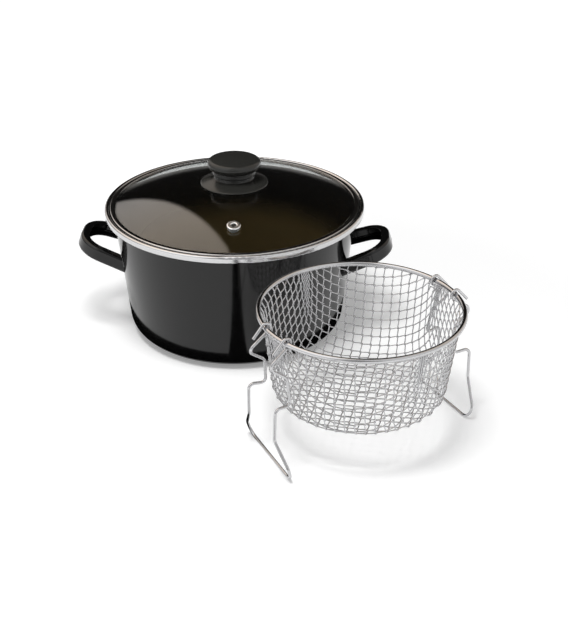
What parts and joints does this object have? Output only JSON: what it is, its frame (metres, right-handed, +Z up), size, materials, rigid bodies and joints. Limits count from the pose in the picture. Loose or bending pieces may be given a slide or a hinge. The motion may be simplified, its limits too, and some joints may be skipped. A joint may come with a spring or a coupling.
{
  "type": "deep fry pot with basket",
  "caption": "Black enamelled deep fry pot with two loop handles, a domed glass lid with a knob and a vent, and a chromed wire basket with folding handles.",
  "frame": {"origin": "centre of the pot's flat base, on the surface that it stands on", "axes": "+X along the pot's two handles, +Y away from the basket, +Z up"},
  "size_m": [0.3732, 0.4055, 0.1726],
  "materials": {
    "black_enamel": "gloss vitreous enamel on steel",
    "rim_steel": "polished stainless trim",
    "lid_steel": "polished stainless ring",
    "lid_glass": "clear toughened glass",
    "knob_black": "satin moulded phenolic",
    "fastener_steel": "plain zinc coated",
    "basket_chrome": "bright plated wire"
  },
  "bodies": {
    "pot": {"pot_body": "black_enamel", "pot_rim_band": "rim_steel", "pot_handle_left": "black_enamel", "pot_handle_right": "black_enamel"},
    "lid": {"lid_glass": "lid_glass", "lid_ring": "lid_steel", "vent_eyelet": "lid_steel", "knob_skirt": "knob_black", "knob_grip": "knob_black", "knob_washer": "fastener_steel", "knob_screw": "fastener_steel"},
    "basket": {"basket_rim": "basket_chrome", "basket_net": "basket_chrome"},
    "basket_handle_left": {"basket_handle_left": "basket_chrome"},
    "basket_handle_right": {"basket_handle_right": "basket_chrome"}
  },
  "joints": [
    {"name": "lid_lift", "type": "slide", "parent": "pot", "child": "lid", "axis": [0, 0, 1], "range_m": [0, 0.18]},
    {"name": "basket_lift", "type": "slide", "parent": "pot", "child": "basket", "axis": [0, 0, 1], "range_m": [0, 0.25]},
    {"name": "right_handle_swing", "type": "hinge", "parent": "basket", "child": "basket_handle_right", "pos_m": [0.1915, -0.14892, 0.1142], "axis": [0.5, -0.866, 0], "range_deg": [0, 215]},
    {"name": "left_handle_swing", "type": "hinge", "parent": "basket", "child": "basket_handle_left", "pos_m": [0.05028, -0.23941, 0.1142], "axis": [-0.5779, 0.8161, 0], "range_deg": [0, 215]}
  ]
}
